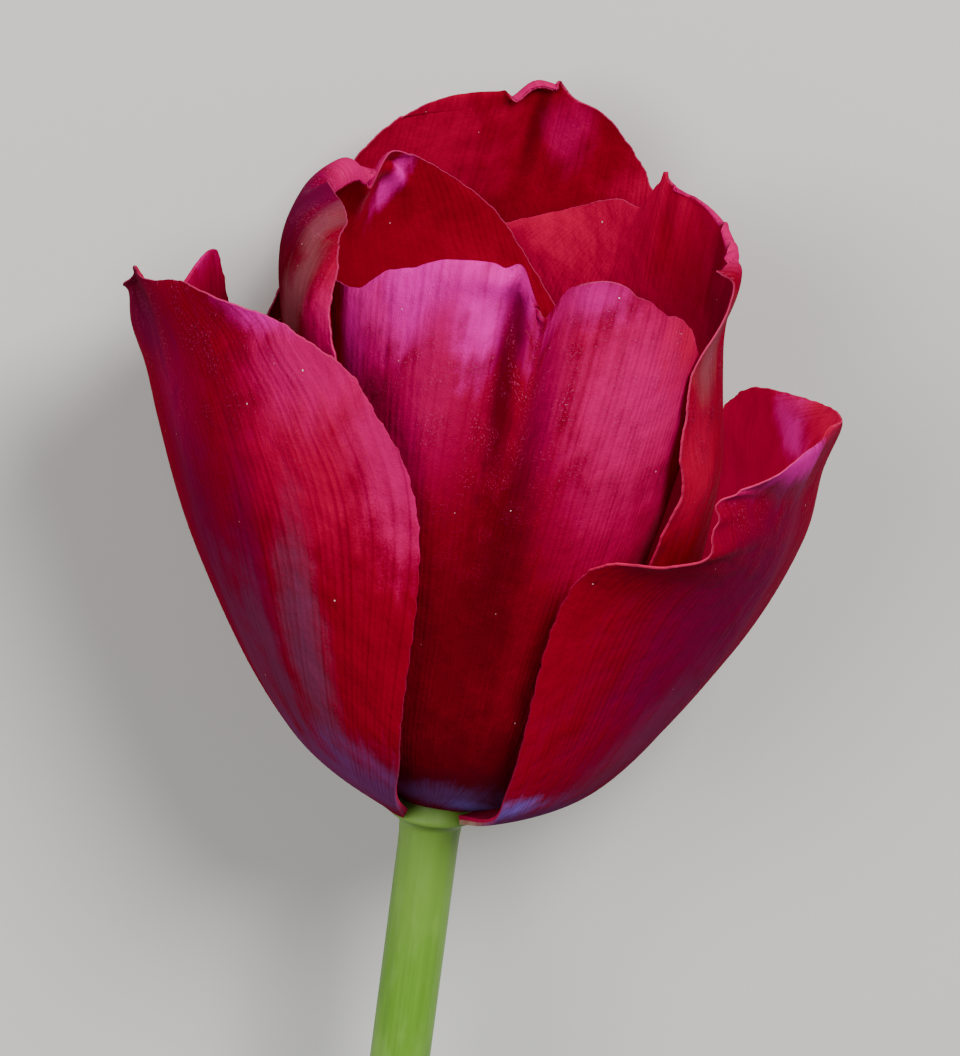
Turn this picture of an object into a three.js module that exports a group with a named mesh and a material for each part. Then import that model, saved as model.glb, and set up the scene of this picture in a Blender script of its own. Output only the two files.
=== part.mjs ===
// A cut tulip of a velvety dark red kind, lying on its side with its bloom half open.
// All sizes are in millimetres and all angles in degrees.
// The flower is shaped in its own frame and laid down at the end. In that frame z runs up its axis from
// the base of the bloom, x to the right of the bloom seen from its front, and y from its front to its back,
// which lies underneath.
import * as THREE from 'three';

// How the flower lies on the table: on two lobes of its back tepal and on the cut end of its stem
const REST_TILT = 7.06;
const REST_ROLL = -2.94;
const REST_SINK = 0.1;

// The stem and the receptacle, the knob at its top that carries the whole bloom, as [height, radius]
const STEM_LENGTH = 190;
const STEM_RADIUS = 3.15;
const STEM_CUT_RADIUS = 3.45;
const STEM_CUT_SLANT = 14;
const STEM_BOW = 9;
const STEM_STRAIGHT = 28;
const STEM_SIDES = 24;
const RECEPTACLE = [
  [-8, 3.15], [-2.4, 3.2], [-1.2, 3.6], [-0.5, 4.5], [0.8, 4], [1.5, 3.75], [2.4, 3.1], [3, 2.8],
];

// The tepals, which are the petals of a tulip: what all six share
const BLADE_ROWS = 26;
const BLADE_STEPS_A_SIDE = 9;
const BLADE_THICKNESS = { claw: 1.3, middle: 0.85, margin: 0.65 };
const RIPPLE_HEIGHT = 0.4;
const RIPPLES = 7;
const RIPPLES_START = 0.5;
const CROWN_START = 0.45;

// One entry for each tepal. facing is the angle of its midrib round the flower's axis, 270 being the front.
// profile holds the midrib's distance from the axis and its height, from the claw to the tip.
// lean moves the midrib to the right, as seen from outside. groove sinks it between the two halves, which
// are steepest at grooveReach from it.
// width is how far the left and the right half reach from it, and bluntness rounds the tip.
// wrap says how closely each half follows the circle round the axis: 1 follows it, less flares and more
// turns in.
// rise lifts the margin of each half above the midrib.
// crown lifts or lowers the top edge, by lobes and notches of [place from -1 to 1, reach, lift].
// dents move the blade round a place [across, along] by [outwards, to the right, upwards].
const TEPALS = {
  inner_tepal_front: {
    colour: 0x8a0f33,
    facing: 269,
    bluntness: 7,
    profile: [[4, 1.8], [13.2, 9.2], [16, 22.2], [17.8, 35.6], [18.3, 48.4], [17.4, 61]],
    lean: [0, 1.4, 4],
    width: [[3, 15.5, 21.5, 33.5, 39], [3, 16, 21, 24, 28]],
    wrap: [[1, 1.15, 1.2, 1.02, 0.75], [1, 1.1, 1.15, 1.1, 1.05]],
    rise: [[0, 0, 0, 1.5, 2], [0, 0, -0.5, 3.5, 2.5]],
    groove: [0, 8, 22, 34, 44],
    grooveReach: 3.4,
    crown: [[-0.56, 0.12, -2], [-0.17, 0.19, 2.8], [0.03, 0.06, -4], [0.26, 0.15, 2.6]],
    dents: [],
  },
  inner_tepal_right: {
    colour: 0xa31433,
    facing: 41,
    bluntness: 7,
    profile: [[4, 1.8], [14.9, 7.7], [20.4, 22.2], [23.6, 38.4], [21.6, 52.9], [22, 64.7]],
    lean: [0, 2.3, 1.8],
    width: [[3, 19, 32, 36, 38], [3, 18, 25, 25.5, 9]],
    wrap: [[1, 1, 0.95, 0.8, 0.85], [1, 0.95, 0.95, 0.9, 0.95]],
    rise: [[0, 0, 1.5, -1, -1.5], [0, 0, 0, 3.5, -3.5]],
    groove: [0, 5, 10, 12, 15],
    grooveReach: 3.4,
    crown: [[-0.64, 0.16, 3], [0.37, 0.17, -2.5]],
    dents: [
      { at: [-0.65, 0.42], reach: [0.35, 0.16], move: [1.6, -1.3, 0] },
    ],
  },
  inner_tepal_left: {
    colour: 0x7c0f2a,
    facing: 159,
    bluntness: 7,
    profile: [[4, 1.8], [14.1, 9.1], [17.4, 22.2], [18.8, 39.8], [21.2, 56.7], [17.4, 66]],
    lean: [0, -3, 2],
    width: [[3, 17.5, 28.5, 32, 21], [3, 16.5, 23, 25.5, 24.5]],
    wrap: [[1, 1, 1.05, 1.05, 0.95], [1, 0.9, 0.8, 1, 1.5]],
    rise: [[0, 0, 1.5, -1.5, 0], [0, 0, -1.5, 3, 0]],
    groove: [0, 5, 10, 12, 15],
    grooveReach: 3.4,
    crown: [[-0.25, 0.12, -1]],
    dents: [
      { at: [0, 1], reach: [0.5, 0.045], move: [-3, 0, -1.5] },
    ],
  },
  outer_tepal_back: {
    colour: 0x741026,
    facing: 93,
    bluntness: 7,
    profile: [[4.8, 0.3], [17.4, 6.6], [26, 19.6], [29.8, 34.8], [28.6, 51], [24.4, 70]],
    lean: [0, 2.9, -3.8],
    width: [[3.2, 17, 24, 22, 16], [3.2, 17, 24, 26, 27]],
    wrap: [[1, 1, 1, 1.1, 1.2], [1, 1, 1, 1, 0.9]],
    rise: [[0, 0, 0, 0, 0], [0, 0, 0, 0, 0]],
    groove: [0, 10, 17, 17, 14],
    grooveReach: 5.5,
    crown: [[-0.56, 0.15, -0.9], [-0.01, 0.1, 1.8]],
    dents: [],
  },
  outer_tepal_left: {
    colour: 0xa50a2e,
    facing: 199,
    bluntness: 4,
    profile: [[4.8, 0.3], [16, 8.5], [24.8, 23.5], [30.4, 38], [33.4, 48], [37.2, 55.8]],
    lean: [0, -4.4, -2.2],
    width: [[3.2, 18.5, 29, 26.5, 4], [3.2, 21, 31.5, 26.5, 15.5]],
    wrap: [[1, 1, 1.25, 1.25, 1.4], [1, 0.9, 1.2, 1.15, 1.2]],
    rise: [[0, 0, 2.7, 3.4, -6], [0, 0, 8.5, 14.5, 9]],
    groove: [0, 8, 14, 14, 14],
    grooveReach: 3.4,
    crown: [[0.58, 0.15, 1.3]],
    dents: [
      { at: [-1, 0.71], reach: [0.2, 0.045], move: [0.6, 0, 4] },
    ],
  },
  outer_tepal_right: {
    colour: 0x9a0c2c,
    facing: 345,
    bluntness: 4,
    profile: [[4.8, 0.3], [17, 6.2], [25.8, 19.4], [31.4, 32.8], [33.3, 41.8], [35.8, 49]],
    lean: [0, 5, -1.7],
    width: [[3.2, 19, 29, 25, 22], [3.2, 18.5, 29, 31, 12]],
    wrap: [[1, 1.1, 1.15, 0.95, 1.3], [1, 0.95, 1, 1.35, 1.35]],
    rise: [[0, 0, 7.4, -1.6, 4], [0, 0, -2.7, 5.8, 2]],
    groove: [0, 8, 14, 14, 14],
    grooveReach: 3.4,
    crown: [],
    dents: [
      { at: [-1, 0.735], reach: [0.25, 0.035], move: [1, 0, 0] },
      { at: [-1, 0.82], reach: [0.35, 0.05], move: [-1.3, 0, 1.4] },
    ],
  },
};

// The pistil: a three-sided ovary with its three-lobed stigma, as [height, radius, how strongly lobed]
const PISTIL_SIDES = 24;
const PISTIL = [
  [3.3, 1.45, 0], [5, 1.75, 0.02], [9, 2.8, 0.07], [14, 3.3, 0.08], [20, 3.1, 0.08], [24.4, 2.5, 0.1],
  [25.8, 2.4, 0.15], [27, 3, 0.25], [28.1, 4, 0.34], [28.9, 4.2, 0.36], [29.3, 3.4, 0.34], [28.9, 1, 0.1],
];

// The six stamens: the way each one faces, the height of its anther's tip, and how far out that tip stands
const STAMEN_SIDES = 12;
const STAMENS = [
  [34, 25.6, 7.4], [93, 26.3, 6.9], [149, 25.2, 7.5], [211, 26, 7.2], [272, 25.4, 7.6], [328, 26.2, 7],
];
const FILAMENT_FOOT = { out: 2.42, height: 3.3, radius: 0.48 };
const FILAMENT_MIDDLE_RADIUS = 0.75;
const FILAMENT_NECK_RADIUS = 0.45;
const ANTHER = { length: 12.5, halfWidth: 1.5, halfDepth: 1.05, groove: 0.16 };

// Colours and roughness: satiny petals, a waxy stem and pistil, dusty anthers
const STEM_FINISH = { color: 0x7f9a3c, roughness: 0.5 };
const PISTIL_FINISH = { color: 0xb9c98a, roughness: 0.5 };
const STAMEN_FINISH = { color: 0x2a1226, roughness: 0.8 };
const TEPAL_ROUGHNESS = 0.42;

const radians = THREE.MathUtils.degToRad;
const clamp = THREE.MathUtils.clamp;

// The smooth curve through evenly spaced values, at t from 0 to 1
function through(values, t) {
  const last = values.length - 1;
  const start = Math.min(Math.floor(t * last), last - 1);
  const f = t * last - start;
  const [before, from, to, after] = [-1, 0, 1, 2].map((step) => values[clamp(start + step, 0, last)]);
  const blend = (a, b, c, d) =>
    b + 0.5 * f * (c - a + f * (2 * a - 5 * b + 4 * c - d + f * (3 * (b - c) + d - a)));
  if (typeof from === 'number') return blend(before, from, to, after);
  return from.map((_, axis) => blend(before[axis], from[axis], to[axis], after[axis]));
}

// A closed solid through rings of equally many points, with flat ends
function loft(rings, finish, name) {
  const sides = rings[0].length;
  const centres = [rings[0], rings[rings.length - 1]].map((ring) =>
    ring.reduce((sum, point) => sum.add(point), new THREE.Vector3()).divideScalar(sides));
  const points = [...rings.flat(), ...centres];
  const index = [];
  for (let r = 0; r < rings.length - 1; r += 1) {
    for (let i = 0; i < sides; i += 1) {
      const [a, b] = [r * sides + i, r * sides + ((i + 1) % sides)];
      index.push(a, b, b + sides, a, b + sides, a + sides);
    }
  }
  const top = (rings.length - 1) * sides;
  for (let i = 0; i < sides; i += 1) {
    const next = (i + 1) % sides;
    index.push(points.length - 2, next, i);
    index.push(points.length - 1, top + i, top + next);
  }
  return solid(points, index, finish, name);
}

function solid(points, index, finish, name) {
  const geometry = new THREE.BufferGeometry();
  geometry.setFromPoints(points);
  geometry.setIndex(index);
  const mesh = new THREE.Mesh(geometry, new THREE.MeshStandardMaterial({ ...finish, metalness: 0 }));
  mesh.name = name;
  return mesh;
}

// A ring in a level plane, round a centre; shape gives the radius at each angle
function levelRing(centre, sides, shape) {
  return Array.from({ length: sides }, (_, i) => {
    const angle = (2 * Math.PI * i) / sides;
    const spoke = new THREE.Vector3(Math.cos(angle), Math.sin(angle), 0);
    return spoke.multiplyScalar(shape(angle)).add(centre);
  });
}

// The stem: straight below the bloom, then bowed gently to the right, and cut off on a slant
function stem() {
  const slant = Math.tan(radians(STEM_CUT_SLANT));
  const rings = [];
  const steps = 22;
  for (let i = 0; i < steps; i += 1) {
    const height = THREE.MathUtils.lerp(-STEM_LENGTH, RECEPTACLE[0][0] - 6, i / (steps - 1));
    const bent = Math.max(0, -height - STEM_STRAIGHT) / (STEM_LENGTH - STEM_STRAIGHT);
    const radius = THREE.MathUtils.lerp(STEM_RADIUS, STEM_CUT_RADIUS, bent);
    const centre = new THREE.Vector3(STEM_BOW * bent * bent, 0, height);
    const ring = levelRing(centre, STEM_SIDES, () => radius);
    const cut = clamp(1 - i / 2, 0, 1);
    for (const point of ring) point.z -= cut * slant * (point.y + radius);
    rings.push(ring);
  }
  for (const [height, radius] of RECEPTACLE) {
    rings.push(levelRing(new THREE.Vector3(0, 0, height), STEM_SIDES, () => radius));
  }
  return loft(rings, STEM_FINISH, 'stem');
}

// One row of a blade's middle surface, from its left margin to its right
function bladeRow(tepal, v, stepsASide) {
  const [radius, height] = through(tepal.profile, v);
  const facing = radians(tepal.facing);
  const outwards = new THREE.Vector3(Math.cos(facing), Math.sin(facing), 0);
  const rightwards = new THREE.Vector3(-Math.sin(facing), Math.cos(facing), 0);
  const lean = through(tepal.lean, v);
  const groove = radians(through(tepal.groove, v));
  const closing = Math.sqrt(1 - v ** tepal.bluntness);
  const calm = THREE.MathUtils.smoothstep(v, RIPPLES_START, 1.3 * RIPPLES_START) * Math.min(1, 3 * closing);
  const lifted = THREE.MathUtils.smoothstep(v, CROWN_START, 1);
  const halves = [0, 1].map((half) => {
    const side = half === 0 ? -1 : 1;
    const step = (through(tepal.width[half], v) * closing) / stepsASide;
    const wrap = through(tepal.wrap[half], v);
    const rise = through(tepal.rise[half], v);
    let out = radius;
    let across = 0;
    const points = [];
    for (let i = 0; i <= stepsASide; i += 1) {
      const u = (side * i) / stepsASide;
      const ripple = calm * RIPPLE_HEIGHT * u ** 4 * Math.sin(2 * Math.PI * (RIPPLES * v + 0.15 * side));
      const point = outwards.clone().multiplyScalar(out + ripple);
      point.addScaledVector(rightwards, lean + side * across);
      point.z = height + rise * (closing * u) ** 2;
      for (const [place, reach, lift] of tepal.crown) {
        point.z += lifted * lift * Math.exp(-(((closing * u - place) / reach) ** 2));
      }
      for (const dent of tepal.dents) {
        const [du, dv] = [(u - dent.at[0]) / dent.reach[0], (v - dent.at[1]) / dent.reach[1]];
        const share = Math.exp(-du * du - dv * dv);
        point.addScaledVector(outwards, share * dent.move[0]);
        point.addScaledVector(rightwards, share * dent.move[1]);
        point.z += share * dent.move[2];
      }
      points.push(point);
      const s = (i + 0.5) * step;
      const x = s / tepal.grooveReach;
      const heading = (wrap * s) / radius - groove * x * Math.exp(0.5 - 0.5 * x * x);
      across += step * Math.cos(heading);
      out -= step * Math.sin(heading);
    }
    return points;
  });
  return [...halves[0].reverse().slice(0, -1), ...halves[1]];
}

// A closed blade: its middle surface thickened along its normals, with both faces split alike
function blade(tepal, name) {
  const columns = 2 * BLADE_STEPS_A_SIDE + 1;
  const along = (r) => Math.sin((Math.PI / 2) * (r / BLADE_ROWS));
  const rows = [];
  for (let r = 0; r < BLADE_ROWS; r += 1) rows.push(bladeRow(tepal, along(r), BLADE_STEPS_A_SIDE));
  const tip = bladeRow(tepal, 1, 1)[1];
  const at = (r, c) => (r >= BLADE_ROWS ? tip : rows[Math.max(r, 0)][clamp(c, 0, columns - 1)]);
  const points = [];
  for (let r = 0; r <= BLADE_ROWS; r += 1) {
    for (let c = 0; c < columns; c += 1) {
      const column = r === BLADE_ROWS ? BLADE_STEPS_A_SIDE : c;
      const row = Math.min(r, BLADE_ROWS - 1);
      const sideways = at(row, column + 1).clone().sub(at(row, column - 1));
      const upwards = at(r + 1, column).clone().sub(at(r - 1, column));
      const normal = sideways.cross(upwards).normalize();
      const v = along(r);
      const u = Math.abs(column / BLADE_STEPS_A_SIDE - 1);
      const body = THREE.MathUtils.lerp(BLADE_THICKNESS.claw, BLADE_THICKNESS.middle, Math.min(1, v * 4));
      const margin = Math.min(body, BLADE_THICKNESS.margin);
      const half = 0.5 * THREE.MathUtils.lerp(body, margin, v * u ** 4);
      for (const face of [half, -half]) points.push(at(r, c).clone().addScaledVector(normal, face));
    }
  }
  const vertex = (face, r, c) => 2 * (r * columns + (r === BLADE_ROWS ? 0 : c)) + face;
  const index = [];
  for (let r = 0; r < BLADE_ROWS; r += 1) {
    for (let c = 0; c < columns - 1; c += 1) {
      const outer = [0, 1, 3, 2].map((k) => vertex(0, r + (k >> 1), c + (k & 1)));
      const inner = [0, 1, 3, 2].map((k) => vertex(1, r + (k >> 1), c + (k & 1)));
      index.push(outer[0], outer[1], outer[2], inner[0], inner[2], inner[1]);
      if (r < BLADE_ROWS - 1) index.push(outer[0], outer[2], outer[3], inner[0], inner[3], inner[2]);
    }
  }
  const rim = [];
  for (let c = 0; c < columns - 1; c += 1) rim.push([0, c]);
  for (let r = 0; r < BLADE_ROWS; r += 1) rim.push([r, columns - 1]);
  for (let r = BLADE_ROWS; r > 0; r -= 1) rim.push([r, 0]);
  rim.forEach(([r, c], i) => {
    const [nextRow, nextColumn] = rim[(i + 1) % rim.length];
    const [a, b] = [vertex(0, r, c), vertex(1, r, c)];
    const [d, e] = [vertex(0, nextRow, nextColumn), vertex(1, nextRow, nextColumn)];
    index.push(a, b, d, b, e, d);
  });
  const kept = points.slice(0, 2 * BLADE_ROWS * columns + 2);
  return solid(kept, index, { color: tepal.colour, roughness: TEPAL_ROUGHNESS }, name);
}

function pistil() {
  const rings = PISTIL.map(([height, radius, lobes]) => levelRing(
    new THREE.Vector3(0, 0, height), PISTIL_SIDES, (angle) => radius * (1 + lobes * Math.cos(3 * angle))));
  return loft(rings, PISTIL_FINISH, 'pistil');
}

// A stamen: a filament that leans out from the receptacle, swells and narrows to a neck, and carries its long
// grooved anther
function stamen([facing, tipHeight, tipOut], number) {
  const turn = radians(facing);
  const outwards = new THREE.Vector3(Math.cos(turn), Math.sin(turn), 0);
  const neckHeight = tipHeight - ANTHER.length;
  const stations = [
    { height: FILAMENT_FOOT.height, width: FILAMENT_FOOT.radius, depth: FILAMENT_FOOT.radius, groove: 0 },
    { height: THREE.MathUtils.lerp(FILAMENT_FOOT.height, neckHeight, 0.4), width: FILAMENT_MIDDLE_RADIUS,
      depth: 0.8 * FILAMENT_MIDDLE_RADIUS, groove: 0 },
    { height: neckHeight, width: FILAMENT_NECK_RADIUS, depth: FILAMENT_NECK_RADIUS, groove: 0 },
  ];
  for (const t of [0.03, 0.12, 0.35, 0.65, 0.88, 0.97, 1]) {
    const size = Math.sqrt(Math.max(0.06, 1 - (2 * t - 1) ** 6));
    stations.push({ height: neckHeight + t * ANTHER.length, width: ANTHER.halfWidth * size,
      depth: ANTHER.halfDepth * size, groove: ANTHER.groove });
  }
  const rings = stations.map(({ height, width, depth, groove }) => {
    const t = (height - FILAMENT_FOOT.height) / (tipHeight - FILAMENT_FOOT.height);
    const centre = outwards.clone().multiplyScalar(THREE.MathUtils.lerp(FILAMENT_FOOT.out, tipOut, t ** 0.8));
    const ring = levelRing(new THREE.Vector3(0, 0, height), STAMEN_SIDES,
      (angle) => 1 - groove * Math.cos(4 * angle));
    return ring.map((point) => new THREE.Vector3(point.x * depth, point.y * width, point.z)
      .applyAxisAngle(new THREE.Vector3(0, 0, 1), turn).add(centre));
  });
  return loft(rings, STAMEN_FINISH, `stamen_${number}`);
}

const flower = new THREE.Group();
flower.add(stem());
for (const [name, tepal] of Object.entries(TEPALS)) flower.add(blade(tepal, name));
flower.add(pistil());
STAMENS.forEach((entry, i) => flower.add(stamen(entry, i + 1)));

// Laid down on the table, with its lowest points pressed to small flats
const fall = new THREE.Matrix4().makeRotationX(-radians(90 - REST_TILT))
  .multiply(new THREE.Matrix4().makeRotationZ(radians(REST_ROLL)));
for (const mesh of flower.children) mesh.geometry.applyMatrix4(fall);
const lowest = new THREE.Box3().setFromObject(flower).min.z;
for (const mesh of flower.children) {
  mesh.geometry.translate(0, 0, -lowest - REST_SINK);
  const places = mesh.geometry.getAttribute('position');
  for (let i = 0; i < places.count; i += 1) places.setZ(i, Math.max(0, places.getZ(i)));
}

// The origin is below the middle of the flower, on the table
const middle = new THREE.Box3().setFromObject(flower).getCenter(new THREE.Vector3());
for (const mesh of flower.children) mesh.geometry.translate(-middle.x, -middle.y, 0);

export default flower;
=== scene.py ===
from math import cos, pi, radians, sin

import bpy
import numpy as np
from mathutils import Matrix, Vector


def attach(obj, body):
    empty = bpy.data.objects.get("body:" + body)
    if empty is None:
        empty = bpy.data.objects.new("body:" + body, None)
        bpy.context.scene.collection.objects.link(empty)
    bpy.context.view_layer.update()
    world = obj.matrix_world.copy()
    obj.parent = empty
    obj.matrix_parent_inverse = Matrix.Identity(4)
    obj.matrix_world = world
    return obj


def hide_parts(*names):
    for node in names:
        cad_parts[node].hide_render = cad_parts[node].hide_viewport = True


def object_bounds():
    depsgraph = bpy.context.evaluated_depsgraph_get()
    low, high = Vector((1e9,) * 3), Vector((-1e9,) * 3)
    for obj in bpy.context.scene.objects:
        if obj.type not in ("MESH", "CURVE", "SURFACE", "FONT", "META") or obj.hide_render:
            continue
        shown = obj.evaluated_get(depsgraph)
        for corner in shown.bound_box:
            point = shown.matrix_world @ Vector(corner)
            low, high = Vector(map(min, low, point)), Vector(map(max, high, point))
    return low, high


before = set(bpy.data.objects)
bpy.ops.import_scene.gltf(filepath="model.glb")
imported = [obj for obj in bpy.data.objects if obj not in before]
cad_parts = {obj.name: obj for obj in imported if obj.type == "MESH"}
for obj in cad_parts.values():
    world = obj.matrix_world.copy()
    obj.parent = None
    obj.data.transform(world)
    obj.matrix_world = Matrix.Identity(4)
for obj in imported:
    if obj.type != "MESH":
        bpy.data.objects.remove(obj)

cad_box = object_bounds()

# The stem: one fresh green stalk, bare under the bloom and cut off on a slant, with a waxy skin.
# Its top swells into the receptacle, which every part of the bloom grows from.
# The flower is shaped in millimetres up its own axis, from the base of the bloom, and then laid down.
BLOOM_BASE = (0.000896, 0.057759, 0.026425)
REST_TILT, REST_ROLL = 7.06, -2.94
LAID_DOWN = (Matrix.Translation(BLOOM_BASE)
             @ Matrix.Rotation(radians(REST_TILT - 90), 4, "X")
             @ Matrix.Rotation(radians(REST_ROLL), 4, "Z")
             @ Matrix.Scale(0.001, 4))
# The visual model stays this many metres inside the box of the CAD model.
BOX_CLEARANCE = 0.00001
# The stalk is straight as far down as STEM_STRAIGHT. From there to its cut it bows to one side and swells.
STEM_LENGTH, STEM_STRAIGHT, STEM_BOW = 190, 28, 9
STEM_RADIUS, STEM_CUT_RADIUS = 3.15, 3.45
STEM_CUT_SLANT, STEM_CUT_RINGS = 14, 14
# Fine ribs along the skin: how many go round, their height as a part of the radius, and their turn.
STEM_RIBS = [(9, 0.006, 1), (14, 0.005, 0)]
RIBS_END = -3
# The receptacle as (height, radius).
RECEPTACLE = [(-8, 3.15), (-2.4, 3.2), (-1.2, 3.6), (-0.5, 4.5), (0.8, 4), (1.5, 3.75), (2.4, 3.1), (3, 2.8)]
STEM_GREEN, STREAK_GREEN = (0.09, 0.23, 0.012), (0.15, 0.34, 0.025)
WAXY_GREEN, TOP_GREEN = (0.18, 0.37, 0.05), (0.17, 0.3, 0.05)
PITH, PITH_STRANDS = (0.34, 0.42, 0.14), (0.1, 0.2, 0.03)
PALE_TOP = 22


class Signal:
    """A socket in a material. Arithmetic on it adds Math nodes, or Vector Math nodes for vectors."""

    def __init__(self, socket):
        self.socket = socket

    def node(self, kind, settings=None, inputs=None, output=0):
        """Adds a node beside this one: its settings first, then the values or links of its inputs."""
        node = self.socket.id_data.nodes.new(kind)
        for name, value in (settings or {}).items():
            setattr(node, name, value)
        for key, value in (inputs or {}).items():
            self.feed(node.inputs[key], value)
        return Signal(node.outputs[output])

    def feed(self, socket, value):
        """Links a signal into a socket, or sets the socket's own value."""
        if isinstance(value, Signal):
            self.socket.id_data.links.new(value.socket, socket)
        elif socket.type == "RGBA":
            socket.default_value = (*value, 1)
        else:
            socket.default_value = value

    def maths(self, operation, first, second):
        vector = any(isinstance(value, tuple) or isinstance(value, Signal) and value.socket.type == "VECTOR"
                     for value in (first, second))
        kind = "ShaderNodeVectorMath" if vector else "ShaderNodeMath"
        return self.node(kind, {"operation": operation}, {0: first, 1: second})

    def __add__(self, other):
        return self.maths("ADD", self, other)

    def __radd__(self, other):
        return self.maths("ADD", other, self)

    def __sub__(self, other):
        return self.maths("SUBTRACT", self, other)

    def __rsub__(self, other):
        return self.maths("SUBTRACT", other, self)

    def __mul__(self, other):
        return self.maths("MULTIPLY", self, other)

    def __rmul__(self, other):
        return self.maths("MULTIPLY", other, self)

    def sine(self):
        return self.node("ShaderNodeMath", {"operation": "SINE"}, {0: self})

    def length(self):
        return self.node("ShaderNodeVectorMath", {"operation": "LENGTH"}, {0: self}, 1)

    def part(self, axis):
        return self.node("ShaderNodeSeparateXYZ", {}, {0: self}, axis)

    def step(self, low, high):
        """0 at low and 1 at high, smooth between and level beyond; low may be the greater one."""
        return self.node("ShaderNodeMapRange", {"interpolation_type": "SMOOTHSTEP"},
                         {"Value": self, "From Min": low, "From Max": high})

    def noise(self, stretch, detail, roughness=0.5):
        """Fractal noise from 0 to 1 over this place; it is finer the way that stretch is greater."""
        return self.node("ShaderNodeTexNoise", {},
                         {"Vector": self * stretch, "Scale": 1.0, "Detail": detail, "Roughness": roughness})

    def cells(self, scale):
        """How far each place lies from the nearest of many scattered points, its third axis left out."""
        return self.node("ShaderNodeTexVoronoi", {}, {"Vector": self * (1.0, 1.0, 0.0), "Scale": scale})

    def tint(self, colour, other):
        """colour where this is 0 and the other colour where it is 1."""
        return self.node("ShaderNodeMix", {"data_type": "RGBA", "clamp_factor": True},
                         {0: self, 6: colour, 7: other}, 2)

    def bump(self, height):
        """The normals of a surface raised by height, in metres."""
        return self.node("ShaderNodeBump", {}, {"Height": height, "Distance": 1.0, "Strength": 1.0})


def new_finish(name, **constant):
    """A material with what is the same all over it, and the signal that its other nodes start from."""
    material = bpy.data.materials.new(name)
    material.use_nodes = True
    shader = material.node_tree.nodes["Principled BSDF"]
    for socket, value in constant.items():
        shader.inputs[socket.replace("_", " ")].default_value = value
    return material, Signal(shader.outputs[0])


def wear(shader, **varying):
    """Gives the shader of a finish what changes over the surface."""
    for socket, value in varying.items():
        shader.feed(shader.socket.node.inputs[socket.replace("_", " ")], value)


def read(shader, name):
    """A vector that the mesh carries at each of its points."""
    return shader.node("ShaderNodeAttribute", {"attribute_name": name}, {}, 1)


def make_piece(name, node, finish, points, faces, marks, crisp_from=50):
    """A mesh laid down in the frame. Marks are named vectors at its points, for the finish to read, and an
    edge stays crisp where its faces turn by crisp_from degrees or more."""
    mesh = bpy.data.meshes.new(name)
    turned = np.array(LAID_DOWN)
    placed = np.asarray(points) @ turned[:3, :3].T + turned[:3, 3]
    low, high = np.array([list(corner) for corner in cad_box])
    placed = np.clip(placed, low + BOX_CLEARANCE, high - BOX_CLEARANCE)
    mesh.from_pydata(placed.tolist(), [], faces)
    for mark, values in marks.items():
        layer = mesh.attributes.new(mark, "FLOAT_VECTOR", "POINT")
        layer.data.foreach_set("vector", np.asarray(values, np.float32).ravel())
    mesh.polygons.foreach_set("use_smooth", [True] * len(mesh.polygons))
    mesh.set_sharp_from_angle(angle=radians(crisp_from))
    mesh.materials.append(finish)
    piece = bpy.data.objects.new(name, mesh)
    bpy.context.scene.collection.objects.link(piece)
    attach(piece, "root")
    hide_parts(node)


def ring(angle, wide, deep, height, shift=0):
    """Points round an oval at one height, which lies shift to the side of the axis."""
    return np.stack([shift + wide * np.cos(angle), deep * np.sin(angle), np.full(len(angle), height)], axis=1)


def closed_tube(rings, marks):
    """The points, marks and faces of a tube through rings, with a fan to a middle point at each end."""
    count, sides = len(rings), len(rings[0])
    faces = []
    for start in range(0, (count - 1) * sides, sides):
        for i in range(sides):
            a, b = start + i, start + (i + 1) % sides
            faces.append((a, b, b + sides, a + sides))
    top = (count - 1) * sides
    for i in range(sides):
        after = (i + 1) % sides
        faces.append((count * sides, after, i))
        faces.append((count * sides + 1, top + i, top + after))
    points, marks = (np.concatenate([*layers, [layers[0].mean(0), layers[-1].mean(0)]])
                     for layers in (rings, marks))
    return points, marks, faces


def through(values, t):
    """The smooth curve through evenly spaced values, at each t from 0 to 1."""
    values = np.asarray(values, float)
    last = len(values) - 1
    start = np.minimum((t * last).astype(int), last - 1)
    f = t * last - start
    if values.ndim > 1:
        f = f[:, None]
    a, b, c, d = (values[np.clip(start + step, 0, last)] for step in (-1, 0, 1, 2))
    return b + 0.5 * f * (c - a + f * (2 * a - 5 * b + 4 * c - d + f * (3 * (b - c) + d - a)))


def waxy_green():
    material, shader = new_finish("waxy_green", Specular_IOR_Level=0.35)
    skin = read(shader, "skin")
    streaks = skin.noise((9.0, 9.0, 0.06), 3.0)
    mottle = skin.noise((1.2, 1.2, 0.12), 3.0)
    green = streaks.tint(STEM_GREEN, STREAK_GREEN)
    green = mottle.step(0.45, 0.75).tint(green, WAXY_GREEN)
    near_top = skin.part(2).step(-PALE_TOP, 0)
    green = (near_top * 0.7).tint(green, TOP_GREEN)
    strands = skin.cells(7.0).step(0.35, 0.2)
    # The mark lies 1 from the axis all over the skin, and nearer to it only on the end faces.
    on_cut = (skin * (1.0, 1.0, 0.0)).length().step(0.985, 0.93)
    green = on_cut.tint(green, strands.tint(PITH, PITH_STRANDS))
    wear(shader, Base_Color=green, Roughness=0.4 + 0.2 * mottle,
         Normal=shader.bump(streaks * 0.00003 + mottle * 0.00005))
    return material


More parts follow.
